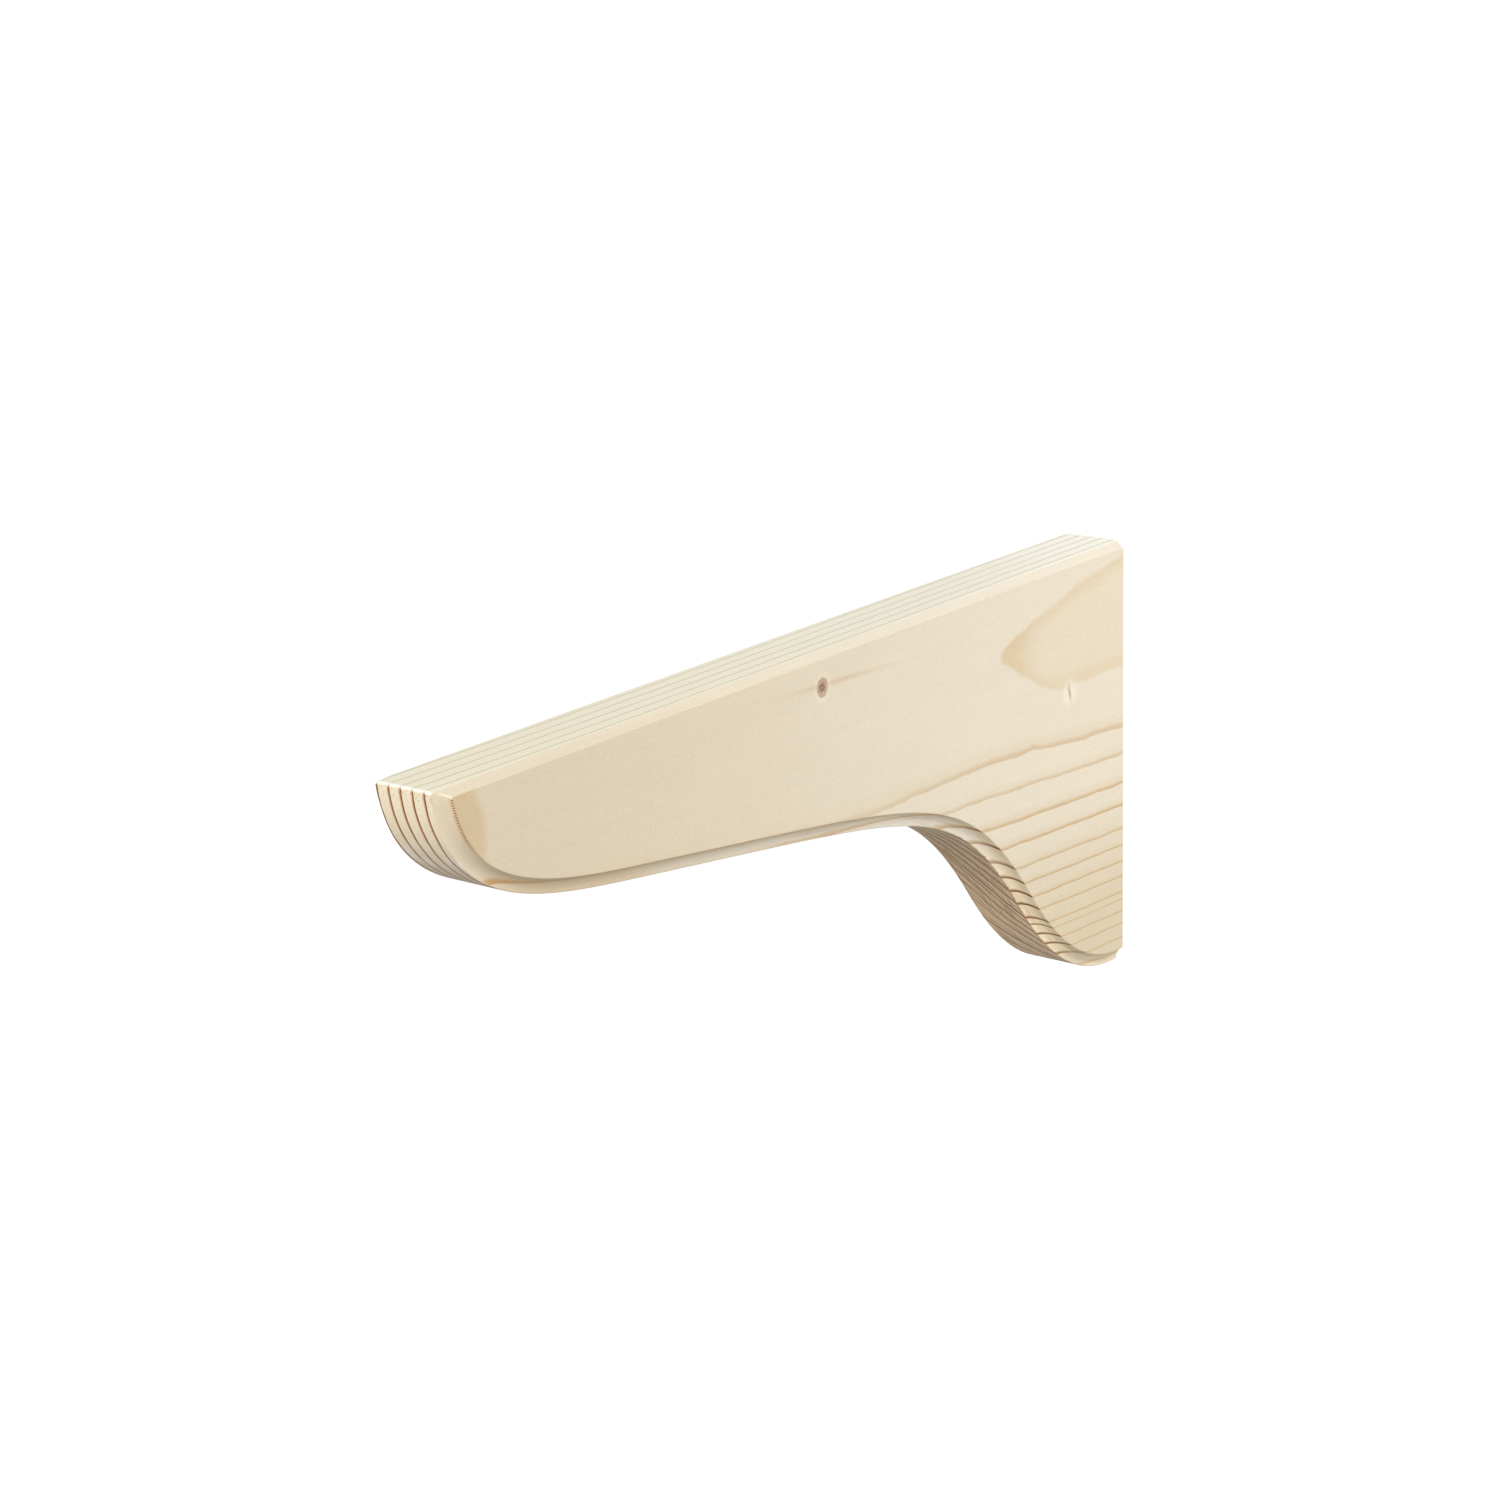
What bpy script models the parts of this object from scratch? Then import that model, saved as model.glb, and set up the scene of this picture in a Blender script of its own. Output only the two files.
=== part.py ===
"""A wooden corbel bracket, sawn from one board, with a coved lower edge and a chamfered top edge.

Units are metres and +Z is up. The wall is the plane y = 0 and the arm reaches out along -Y.
The origin is the middle of the wall face, and the board's thickness runs along X.
The outline is drawn with u, the distance from the wall (negative toward the nose), and v, the height.
"""

import math

import bmesh
import bpy

# Overall sizes
LENGTH = 0.240
HEIGHT = 0.106
THICKNESS = 0.018

# Nose: the rounded end of the arm
NOSE_REACH = 0.061
NOSE_DEPTH = 0.0336
NOSE_TOP_SLOPE = math.radians(82.4)
NOSE_TOP_HANDLE = 0.0262
NOSE_END_HANDLE = 0.0327

# Arm and throat: the straight underside and the hollow curve that joins it to the leg
ARM_SLOPE = math.radians(7.7)
STRAIGHT_SHARE = 0.222
THROAT_START_SHARE = 0.504
THROAT_END_SHARE = 0.281

# Leg: the rounded foot against the wall
LEG_REACH = 0.044
LEG_RISE = 0.0269
LEG_SLOPE = math.radians(53.1)
LEG_TOP_HANDLE = 0.029
LEG_FOOT_HANDLE = 0.0117

# Edges
COVE_WIDTH = 0.0033
COVE_DEPTH = 0.0020
CHAMFER_WIDTH = 0.0019
CHAMFER_DROP = 0.0015

# Fineness of the curves
OUTLINE_STEPS = 20
TUBE_BEVEL_RESOLUTION = 21
TUBE_OVERRUN = 0.012
FLAT_ANGLE = math.radians(0.05)
WELD_DISTANCE = 1e-6
SMOOTH_ANGLE = math.radians(30)

WOOD_COLOUR = (0.76, 0.63, 0.44, 1.0)
WOOD_ROUGHNESS = 0.55


def clear_scene():
    for obj in list(bpy.data.objects):
        bpy.data.objects.remove(obj, do_unlink=True)


def add_collection(name):
    collection = bpy.data.collections.new(name)
    bpy.context.scene.collection.children.link(collection)
    return collection


def direction(slope):
    """The unit step away from the nose along an edge that falls at this slope."""
    return math.cos(slope), -math.sin(slope)


def moved(point, slope, distance):
    """The point at this distance along the fall of the slope, or against it where the distance is negative."""
    du, dv = direction(slope)
    return point[0] + du * distance, point[1] + dv * distance


def underside_knots():
    """The underside from the nose's top corner to the foot at the wall: point, handle before, handle after."""
    nose_top = (-LENGTH, HEIGHT / 2)
    nose_end = (-LENGTH + NOSE_REACH, HEIGHT / 2 - NOSE_DEPTH)
    turn = (-LEG_REACH, -HEIGHT / 2 + LEG_RISE)
    foot = (0.0, -HEIGHT / 2)
    run = turn[0] - nose_end[0]
    straight = run * STRAIGHT_SHARE
    arm_end = (nose_end[0] + straight, nose_end[1] - straight * math.tan(ARM_SLOPE))
    return [
        (nose_top, nose_top, moved(nose_top, NOSE_TOP_SLOPE, NOSE_TOP_HANDLE)),
        (nose_end, moved(nose_end, ARM_SLOPE, -NOSE_END_HANDLE), nose_end),
        (arm_end, arm_end, moved(arm_end, ARM_SLOPE, run * THROAT_START_SHARE)),
        (turn, moved(turn, LEG_SLOPE, -run * THROAT_END_SHARE), moved(turn, LEG_SLOPE, LEG_TOP_HANDLE)),
        (foot, moved(foot, 0.0, -LEG_FOOT_HANDLE), foot),
    ]


def corner(point):
    """A knot with straight stretches on both sides."""
    return point, point, point


def straight_knot(point, slope):
    """A knot on a straight stretch of the bar, with a handle on each side."""
    reach = TUBE_OVERRUN / 3
    return point, moved(point, slope, -reach), moved(point, slope, reach)


def bar_knots():
    """The underside's knots, carried on straight past the nose's top and past the wall."""
    knots = underside_knots()
    nose_top, _, nose_after = knots[0]
    foot, foot_before, _ = knots[-1]
    knots[0] = (nose_top, straight_knot(nose_top, NOSE_TOP_SLOPE)[1], nose_after)
    knots[-1] = (foot, foot_before, straight_knot(foot, 0.0)[2])
    above_nose = straight_knot(moved(nose_top, NOSE_TOP_SLOPE, -TUBE_OVERRUN), NOSE_TOP_SLOPE)
    past_wall = straight_knot(moved(foot, 0.0, TUBE_OVERRUN), 0.0)
    return [above_nose] + knots + [past_wall]


def curve_object(name, collection, knots, closed):
    curve = bpy.data.curves.new(name, "CURVE")
    curve.dimensions = "2D"
    curve.resolution_u = OUTLINE_STEPS
    spline = curve.splines.new("BEZIER")
    spline.bezier_points.add(len(knots) - 1)
    spline.use_cyclic_u = closed
    for bezier_point, (point, before, after) in zip(spline.bezier_points, knots):
        bezier_point.handle_left_type = "FREE"
        bezier_point.handle_right_type = "FREE"
        bezier_point.co = (*point, 0.0)
        bezier_point.handle_left = (*before, 0.0)
        bezier_point.handle_right = (*after, 0.0)
    obj = bpy.data.objects.new(name, curve)
    # Turns the drawing plane so that u runs along Y, v along Z and the extrusion along X.
    obj.rotation_euler = (math.pi / 2, 0.0, math.pi / 2)
    collection.objects.link(obj)
    return obj


def as_mesh_object(source):
    """The same shape as a mesh, with the curve's loose caps welded on and flat faces made whole."""
    bpy.context.view_layer.update()
    graph = bpy.context.evaluated_depsgraph_get()
    mesh = bpy.data.meshes.new_from_object(source.evaluated_get(graph))
    name, matrix, collection = source.name, source.matrix_world.copy(), source.users_collection[0]
    bpy.data.objects.remove(source, do_unlink=True)
    work = bmesh.new()
    work.from_mesh(mesh)
    bmesh.ops.remove_doubles(work, verts=work.verts, dist=WELD_DISTANCE)
    bmesh.ops.dissolve_limit(work, angle_limit=FLAT_ANGLE, verts=work.verts, edges=work.edges)
    bmesh.ops.recalc_face_normals(work, faces=work.faces)
    work.to_mesh(mesh)
    work.free()
    mesh.name = name
    obj = bpy.data.objects.new(name, mesh)
    obj.matrix_world = matrix
    collection.objects.link(obj)
    return obj


def add_board(collection):
    """The board sawn to its outline, before any edge is worked."""
    wall_top = (0.0, HEIGHT / 2)
    outline = curve_object("corbel_bracket", collection, underside_knots() + [corner(wall_top)], closed=True)
    outline.data.fill_mode = "BOTH"
    outline.data.extrude = THICKNESS / 2
    return as_mesh_object(outline)


def chamfer_top_edges(board):
    """Planes the two long edges off the top face. In the drawing plane the top is the highest v."""
    work = bmesh.new()
    work.from_mesh(board.data)
    for side in (-1, 1):
        cut_off = bmesh.ops.bisect_plane(
            work,
            geom=work.verts[:] + work.edges[:] + work.faces[:],
            plane_co=(0.0, HEIGHT / 2, side * (THICKNESS / 2 - CHAMFER_WIDTH)),
            plane_no=(0.0, CHAMFER_WIDTH, side * CHAMFER_DROP),
            clear_outer=True,
        )
        rim = [item for item in cut_off["geom_cut"] if isinstance(item, bmesh.types.BMEdge)]
        bmesh.ops.contextual_create(work, geom=rim)
    bmesh.ops.recalc_face_normals(work, faces=work.faces)
    work.to_mesh(board.data)
    work.free()


def add_cove_cutter(collection, side):
    """A round bar along the underside's edge. The part of it inside the board is the cove."""
    radius = (COVE_WIDTH**2 / COVE_DEPTH + COVE_DEPTH) / 2
    name = "cove_cutter_left" if side < 0 else "cove_cutter_right"
    bar = curve_object(name, collection, bar_knots(), closed=False)
    bar.data.fill_mode = "NONE"
    bar.data.bevel_depth = radius
    bar.data.bevel_resolution = TUBE_BEVEL_RESOLUTION
    bar.data.use_fill_caps = True
    bar.location.x = side * (THICKNESS / 2 + radius - COVE_DEPTH)
    cutter = as_mesh_object(bar)
    cutter.hide_render = True
    cutter.display_type = "WIRE"
    return cutter


def cut(board, cutter):
    modifier = board.modifiers.new(cutter.name, "BOOLEAN")
    modifier.operation = "DIFFERENCE"
    modifier.solver = "EXACT"
    modifier.object = cutter


def wood_material():
    material = bpy.data.materials.new("pale_softwood")
    material.use_nodes = True
    shader = material.node_tree.nodes["Principled BSDF"]
    shader.inputs["Base Color"].default_value = WOOD_COLOUR
    shader.inputs["Roughness"].default_value = WOOD_ROUGHNESS
    shader.inputs["Metallic"].default_value = 0.0
    return material


def main():
    clear_scene()
    parts = add_collection("wooden_corbel_bracket")
    cutters = add_collection("cutters")
    board = add_board(parts)
    chamfer_top_edges(board)
    for side in (-1, 1):
        cut(board, add_cove_cutter(cutters, side))
    board.data.materials.append(wood_material())
    board.data.shade_smooth()
    board.data.set_sharp_from_angle(angle=SMOOTH_ANGLE)


main()
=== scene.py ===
"""A wooden corbel bracket in pale softwood, with growth rings, knots, coves and chamfers.

Shapes and materials are worked out in millimetres, and the studio in metres. The wall is the plane
y = 0, the arm reaches out along -Y, the thickness runs along X, and the origin is the middle of the
wall face. Colours are 0-255 display values. Where one has a fourth value, it is how much of the wood
beneath the colour covers, from 0 to 1.
"""

import math

import bpy
import numpy as np
from mathutils import Matrix, Vector, geometry


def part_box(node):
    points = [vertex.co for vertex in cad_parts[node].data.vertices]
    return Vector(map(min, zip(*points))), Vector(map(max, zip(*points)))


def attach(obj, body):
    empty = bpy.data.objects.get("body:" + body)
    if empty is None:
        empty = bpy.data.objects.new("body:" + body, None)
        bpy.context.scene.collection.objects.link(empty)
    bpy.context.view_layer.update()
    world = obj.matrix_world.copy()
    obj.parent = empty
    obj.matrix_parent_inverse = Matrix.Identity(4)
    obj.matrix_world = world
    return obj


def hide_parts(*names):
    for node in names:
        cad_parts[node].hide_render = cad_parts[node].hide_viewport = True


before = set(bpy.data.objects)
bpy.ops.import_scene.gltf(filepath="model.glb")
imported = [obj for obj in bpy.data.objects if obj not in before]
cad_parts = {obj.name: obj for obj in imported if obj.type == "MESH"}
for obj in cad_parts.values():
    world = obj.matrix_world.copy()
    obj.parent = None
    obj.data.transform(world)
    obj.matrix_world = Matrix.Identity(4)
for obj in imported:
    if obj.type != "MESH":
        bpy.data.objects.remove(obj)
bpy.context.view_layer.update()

MM = 0.001
LOW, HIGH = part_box("corbel_bracket")
LENGTH = -LOW[1] / MM
HEIGHT = (HIGH[2] - LOW[2]) / MM
HALF_THICKNESS = HIGH[0] / MM

# Outline of the underside
NOSE_REACH = 61.0
NOSE_DEPTH = 33.6
NOSE_TOP_SLOPE = math.radians(82.4)
NOSE_TOP_HANDLE = 26.2
NOSE_END_HANDLE = 32.7
ARM_SLOPE = math.radians(7.7)
STRAIGHT_SHARE = 0.222
THROAT_START_SHARE = 0.504
THROAT_END_SHARE = 0.281
LEG_REACH = 44.0
LEG_RISE = 26.9
LEG_SLOPE = math.radians(53.1)
LEG_TOP_HANDLE = 29.0
LEG_FOOT_HANDLE = 11.7

# Worked edges
COVE_WIDTH = 3.3
COVE_DEPTH = 2.0
CHAMFER_WIDTH = 1.9
CHAMFER_DROP = 1.5
CHAMFER_EASING = 0.2
NOSE_EASING = 0.45
ARRIS_EASING = 0.16
SIDE_EASING = 0.16
TOP_EDGE_DROP = 0.6
SIDE_MARGIN = 0.25
WALL_EASING = 0.2

# Eased edges of the cove, as shares of their easing: distance inside the edge, depth of the cut
ARRIS_ROUNDING = ((1.0, 0.0), (0.62, 0.07), (0.30, 0.30), (0.05, 0.75))
SIDE_ROUNDING = ((0.25, 0.25), (0.06, 0.55), (0.0, 1.0))
COVE_START = 1.6
COVE_END = 0.62

# Wear of the top's end corners: how far they drop, where, and how far the wear reaches
NOSE_WEAR = 0.55
NOSE_WEAR_PLACE = 1.0
NOSE_WEAR_REACH = 2.2
WALL_WEAR = 0.35
WALL_WEAR_REACH = 1.8
WEAR_SIDE = (5.9, 8.1)
WEAR_HEIGHT = (48.0, 51.0)

# Fineness
CURVE_SAMPLES = 1500
UNDERSIDE_POINTS = 620
BEND_WEIGHT = 8
BEND_LIMIT = 0.15
FOOT_SAMPLES = 400
TOP_POINTS = 110
TOP_END_PACKING = 0.35
WALL_POINTS = 48
CORNER_POINTS = 6
MIDDLE_SLICES = (0.0, 1.2, 2.4, 3.6, 4.8, 5.8, 6.4)
COVE_SLICES = 15
SIDE_GRID = 3.0
SIDE_GRID_ROW = 0.866
SIDE_GRID_CLEARANCE = 0.4
KNOT_MESH_RINGS = np.linspace(0.1, 2.3, 16)
KNOT_MESH_ANGLES = np.arange(0, 2 * math.pi, math.pi / 14)
KNOT_MESH_CLEARANCE = 2.6
TOUCH = 1e-9
SIDE_TOUCH = 0.01
WELD = 1e-6
SHADING_WEIGHT = 60

# Knots that break the side face: y, z, and half their width and height
DARK_KNOT = (-121.25, 45.3, 2.1, 2.4)
PALE_KNOT = (-24.1, 21.2, 2.4, 2.4)
KNOTS = (DARK_KNOT, PALE_KNOT)
KNOT_DIPS = (0.16, 0.05)
DIP_REACH = 1.3

# Values stored at each point: the length along the underside, and how deep the cut is
OFF_THE_UNDERSIDE = -1.0
SIDE_FACE_CUT = 6.0

# Places by run, the length along the underside from the nose's top
NOSE_RUN = 45.0
LEG_START = 170.0
LEG_END = 259.0
FOOT_FADE = 14.0

# Faces, by how much the normal points their way: where the face starts and where it is complete
FACING_SIDE = (0.6, 0.9)
FACING_UP = (0.72, 0.95)
FACING_ALONG = (0.12, 0.62)
FACING_WALL = (0.4, 0.7)

# The same for depths of the cut, heights and distances
UNCUT = (0.3, 0.05)
COVE_ARRIS = (0.02, 0.3)
COVE_RIM = (3.45, COVE_WIDTH)
SIDE_RIM = (COVE_WIDTH, 3.42)
LEG_LENGTHS = (-150.0, -112.0)
LEG_HEIGHTS = (24.0, 14.0)
NEAR_FACE = (6.0, 7.0)

# Growth rings: the pith runs outside the board, as a series in the share of the length
PITH_AWAY = (83.8, -1.173, 6.923, 7.114)
PITH_HEIGHT = (35.0, -10.4)
FIRST_RING_RADIUS = 79.475
RING_SPACING = 2.989
RING_EDGE = 0.94
RING_CORE = 0.80
SLOW_BEND = 0.12
QUICK_BEND = 0.13
LEG_SHIFT = 0.04

# Local bends of the rings, in rings, and where they are
BULGE = 0.06
BULGE_PLACE = (-40.0, 11.0)
BULGE_REACH = (5.0, 4.0)
SAG = -0.30
SAG_START = (-60.0, -112.0)
SAG_END = (-190.0, -150.0)
LIFT = 0.09
LIFT_PLACE = -50.0
LIFT_REACH = 30.0
LIFT_HEIGHTS = (6.0, 10.0)
BELOW_TOP = (36.0, 26.0)

# A ring's line, in shares of its year: the tan, the dark core and the end
SIDE_TAN_RISE = (0.50, 0.93)
END_TAN_RISE = (0.66, RING_EDGE)
LINE_FALL = (0.955, 1.0)
LEG_COVE_WIDENING = -0.10
UNDER_LEG_WIDENING = -0.08
NOSE_WIDENING = -0.06

# How strongly the lines are drawn
LINE_STRENGTH = 0.45
RING_LOTTERY = 0.3
PATCHINESS = 0.4
END_STRENGTH = 1.6
LEG_STRENGTH = 1.15
END_TAN_STRENGTH = 0.85
SIDE_TAN_STRENGTH = 0.6

# Where an evenly grown ring would lie, and the number of the ring that lies there
RING_RANGE = (-2.0, 18.0)
RING_YEARS = (
    (-0.6, -0.65), (0.11, -0.05), (1.0, 0.95), (2.14, 1.95), (3.11, 2.95), (4.24, 3.95), (5.10, 4.95),
    (5.96, 5.95), (6.78, 6.95), (7.71, 7.95), (8.14, 8.95), (8.85, 9.95), (9.62, 10.95), (10.5, 11.95),
)

# Grain: how many grains to a millimetre along X, Y and Z, detail and roughness
SLOW_GRAIN = ((0.06, 0.012, 0.06), 2.0, 0.5)
QUICK_GRAIN = ((0.2, 0.14, 0.2), 2.0, 0.5)
PATCH_GRAIN = ((0.08, 0.06, 0.08), 2.0, 0.5)
FIBRE_GRAIN = ((2.2, 0.05, 2.2), 4.0, 0.6)
STREAK_GRAIN = ((0.55, 0.012, 0.55), 3.0, 0.5)
BLOTCH_GRAIN = ((0.05, 0.02, 0.05), 2.0, 0.5)
FUZZ_GRAIN = ((2.6, 1.5, 2.6), 3.0, 0.75)
STRIPE_GRAIN = ((1.9, 0.05, 0.05), 3.0, 0.6)
TONGUE_GRAIN = ((0.12, 0.13, 0.13), 3.0, 0.5)
KNOT_GRIT = ((1.0, 1.3, 1.3), 4.0, 0.7)
KNOT_MOTTLE = ((1.0, 2.6, 2.6), 3.0, 0.7)
SPECK_GRAIN = ((3.0, 1.0, 2.2), 3.0, 0.7)
GLINT_GRAIN = ((0.5, 0.3, 0.22), 3.0, 0.6)

# How much the fine grain lightens and darkens the wood
# Painted shade on the chamfers
CHAMFER_PAINTED_SHADE = -0.1
END_FIBRES = 0.10
SIDE_FIBRES = 0.05
STREAKS = 0.7
BLOTCHES = 0.06
END_FUZZ = 0.22
SIDE_FUZZ = 0.26

# Pale wood between the rings, brighter toward the wall on the side and the top as painted light, and
# darker toward the foot
SIDE_AT_NOSE = (221, 206, 180)
SIDE_LIT_AT_WALL = (226, 215, 194)
SIDE_AT_FOOT = (214, 198, 170)
TOP_AT_NOSE = (221, 214, 192)
TOP_ALONG = (228, 223, 206)
TOP_LIT_AT_WALL = (240, 236, 222)
END_WOOD = (237, 224, 198)

# The rings' dark lines, and the tan that leads up to them
SIDE_LINE = (200, 172, 130)
TOP_LINE = (190, 184, 158)
NOSE_LINE = (96, 46, 0)
COVE_LINE = (208, 164, 108)
UNDER_LEG_LINE = (80, 32, 12)
LEG_COVE_LINE = (98, 50, 26)
SIDE_TAN = (214, 195, 162)
TOP_TAN = (213, 205, 182)
END_TAN = (214, 152, 66)
LEG_TAN = (198, 152, 108)

# Features
EXTRA_LINE = (98, 42, 18, 1.0)
STRIPE = (146, 104, 68, 0.5)
TONGUE = (222, 205, 174, 0.42)
TONGUE_EDGE = (212, 187, 146, 0.4)
TONGUE_TIP = (210, 182, 138, 0.45)
NOSE_PATCH = (212, 188, 150, 0.92)
KNOT_STREAK = (192, 160, 124, 0.42)
DARK_KNOT_HALO = (236, 226, 206, 0.4)
DARK_KNOT_RIM = (158, 114, 68, 0.62)
DARK_KNOT_HEART = (92, 52, 28, 0.62)
PALE_KNOT_HALO = (240, 231, 213, 0.65)
PALE_KNOT_SLIT = (176, 148, 120, 0.85)
CUTTER_GLOW = (226, 184, 118, 0.45)
CUTTER_MARK = (120, 70, 26, 0.95)
NOSE_SPECK = (180, 122, 60, 1.0)
NOSE_GLINT = (254, 254, 252, 0.5)
# Painted highlight along the top edge of the nose
PAINTED_EDGE_HIGHLIGHT = (252, 248, 238, 0.5)

# Tints that multiply the wood's colour
COVE_TINT = (1.05, 1.08, 1.14)
COVE_RIM_TINT = (1.04, 1.0, 0.93)
NOSE_COVE_TINT = (0.92, 0.90, 0.88)
FOOT_COVE_TINT = (1.24, 1.27, 1.30)
# Warm tints of the cove on the leg and the arm: partly the wood's colour, partly painted warm shade
LEG_COVE_WARM_SHADE_TINT = (1.05, 1.0, 0.92)
ARM_COVE_WARM_SHADE_TINT = (1.0, 0.95, 0.88)
# Under the leg: partly the wood's colour, partly painted warm shade
UNDER_LEG_WARM_SHADE_TINT = (1.22, 1.10, 0.99)
# Painted shade under the nose
UNDER_NOSE_SHADE = (0.93, 0.91, 0.88)

# Cutter marks at the nose
CUTTER_PITCH = 0.62
CUTTER_RUN = (0.6, 2.0)
CUTTER_RUN_END = (24.0, 12.0)

# The tongue, as the space between a ceiling and a ground, and the patch at the nose
TONGUE_CEILING = (49.3, 0.11, -0.0022)
TONGUE_GROUND = 22.7
TONGUE_SLOPE = 0.3
TONGUE_TURN = -32.0
TONGUE_TURN_ROUNDING = 4.5
TONGUE_TIP_ROUNDING = 3.5
TONGUE_END = -53.0
TONGUE_END_ROUNDING = 2.5
TONGUE_WIDENING = 0.3
TONGUE_WAVER = 2.6
TONGUE_TIP_PLACE = (-48.5, 37.0)
TONGUE_TIP_REACH = (7.0, 8.0)
PATCH_PLACE = (-227.5, 43.0)
PATCH_CURVE = 0.035
PATCH_WAVER = 2.0

# Ragged edges and mottling of the knots, and the streak through the dark one
DARK_KNOT_RAGGEDNESS = 0.45
PALE_KNOT_RAGGEDNESS = 0.8
RIM_MOTTLE = 1.8
HEART_MOTTLE = 3.0
STREAK_PLACE = -116.0
STREAK_REACH = 16.0
STREAK_WIDTH = 0.6
STREAK_RISE = 0.5
STREAK_SLOPE = -0.045
SLIT_WIDTH = 0.5
SLIT_REACH = 1.9
SLIT_LEAN = 0.25

# Finish
WOOD_ROUGHNESS = 0.58
FIBRE_ROUGHNESS = 0.12
LINE_ROUGHNESS = -0.08
WOOD_SPECULAR = 0.3
FIBRE_RELIEF = 0.00006
RELIEF_STRENGTH = 0.5

# Camera, as in the photograph
CAMERA_YAW = 0.66429
CAMERA_PITCH = 0.28635
CAMERA_ROLL = 0.03123
CAMERA_PLACE = (0.41320, -0.66296, 0.23103)
CAMERA_LENS = 79.667
SENSOR_WIDTH = 36.0
CLIP = (0.01, 200.0)

# Studio: each softbox has a place, a point that it faces, a size and a power
SOFTBOXES = {
    "side_softbox": ((0.85, 0.45, 0.14), (0.0, -0.05, 0.0), 0.7, 7.2),
    "front_softbox": ((0.1, -1.8, 0.9), (0.0, -0.2, 0.0), 0.7, 26.5),
}
FLOOR_REACH = 60.0
FLOOR_HEIGHT = -1.2
FLOOR_GRAIN = ((0.6, 0.6, 1.0), 0.0, 0.5)
FLOOR_COLOURS = ((252, 252, 251), (249, 249, 248))
FLOOR_GLOW = 0.34
FLOOR_ROUGHNESS = 0.9
FLOOR_SPECULAR = 0.1
LIGHT_FROM_BELOW = (0.145, 0.125, 0.095, 1.0)
LIGHT_FROM_ABOVE = (0.73, 0.73, 0.73, 1.0)
HORIZON = (-0.5, 0.3)
WHITE = (1.0, 1.0, 1.0, 1.0)


# Outline

def moved(point, slope, distance):
    return np.array(point) + distance * np.array((math.cos(slope), -math.sin(slope)))


def underside_knots():
    """Knots from the nose's top corner to the foot: point, handle before, handle after, as (y, z)."""
    nose_top = np.array((-LENGTH, HEIGHT / 2))
    nose_end = nose_top + (NOSE_REACH, -NOSE_DEPTH)
    turn = np.array((-LEG_REACH, LEG_RISE - HEIGHT / 2))
    foot = np.array((0.0, -HEIGHT / 2))
    run = turn[0] - nose_end[0]
    straight = run * STRAIGHT_SHARE
    arm_end = nose_end + (straight, -straight * math.tan(ARM_SLOPE))
    turn_before = moved(turn, LEG_SLOPE, -run * THROAT_END_SHARE)
    turn_after = moved(turn, LEG_SLOPE, LEG_TOP_HANDLE)
    return [
        (nose_top, nose_top, moved(nose_top, NOSE_TOP_SLOPE, NOSE_TOP_HANDLE)),
        (nose_end, moved(nose_end, ARM_SLOPE, -NOSE_END_HANDLE), nose_end),
        (arm_end, arm_end, moved(arm_end, ARM_SLOPE, run * THROAT_START_SHARE)),
        (turn, turn_before, turn_after),
        (foot, moved(foot, 0.0, -LEG_FOOT_HANDLE), foot),
    ]


def bezier(start, start_handle, end_handle, end, count):
    t = np.linspace(0, 1, count)[:, None]
    left = 1 - t
    return left**3 * start + 3 * left**2 * t * start_handle + 3 * left * t**2 * end_handle + t**3 * end


def sampled(lengths, along, points):
    """The points of a line at these lengths along it."""
    return np.column_stack([np.interp(lengths, along, points[:, axis]) for axis in (0, 1)])


class Outline:
    """The underside, evenly sampled by its length, with its inward normals."""

    def __init__(self):
        knots = underside_knots()
        pieces = []
        for (start, _, start_handle), (end, end_handle, _) in zip(knots, knots[1:]):
            pieces.append(bezier(start, start_handle, end_handle, end, CURVE_SAMPLES)[:-1])
        pieces.append(knots[-1][0][None])
        raw = np.vstack(pieces)
        along = np.r_[0, np.cumsum(np.hypot(*np.diff(raw, axis=0).T))]
        self.length = np.linspace(0, along[-1], 4 * CURVE_SAMPLES)
        self.points = sampled(self.length, along, raw)
        tangent = np.gradient(self.points, self.length, axis=0)
        tangent[0] = (math.cos(NOSE_TOP_SLOPE), -math.sin(NOSE_TOP_SLOPE))
        tangent[-1] = (1.0, 0.0)
        tangent /= np.hypot(*tangent.T)[:, None]
        self.normals = np.column_stack((-tangent[:, 1], tangent[:, 0]))
        self.fractions = self.spaced(tangent)

    def spaced(self, tangent):
        """Shares of the length at which points are kept, closer together where the line bends."""
        turn = np.unwrap(np.arctan2(tangent[:, 1], tangent[:, 0]))
        bend = np.abs(np.gradient(turn, self.length))
        weight = 1 + BEND_WEIGHT * np.clip(bend, 0, BEND_LIMIT)
        share = np.r_[0, np.cumsum((weight[1:] + weight[:-1]) / 2 * np.diff(self.length))]
        steps = np.linspace(0, share[-1], UNDERSIDE_POINTS)
        return np.interp(steps, share, self.length) / self.length[-1]

    def offset(self, depth):
        return self.points + self.normals * depth


def rounded_corner(before, corner, after):
    """Points on a round corner, without its two ends."""
    t = np.linspace(0, 1, CORNER_POINTS + 2)[1:-1, None]
    return (1 - t) ** 2 * before + 2 * (1 - t) * t * corner + t**2 * after


def packed_ends(t):
    """Packs more points near both ends of a stretch."""
    return (1 - TOP_END_PACKING) * t + TOP_END_PACKING * (1 - np.cos(math.pi * t)) / 2


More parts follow.
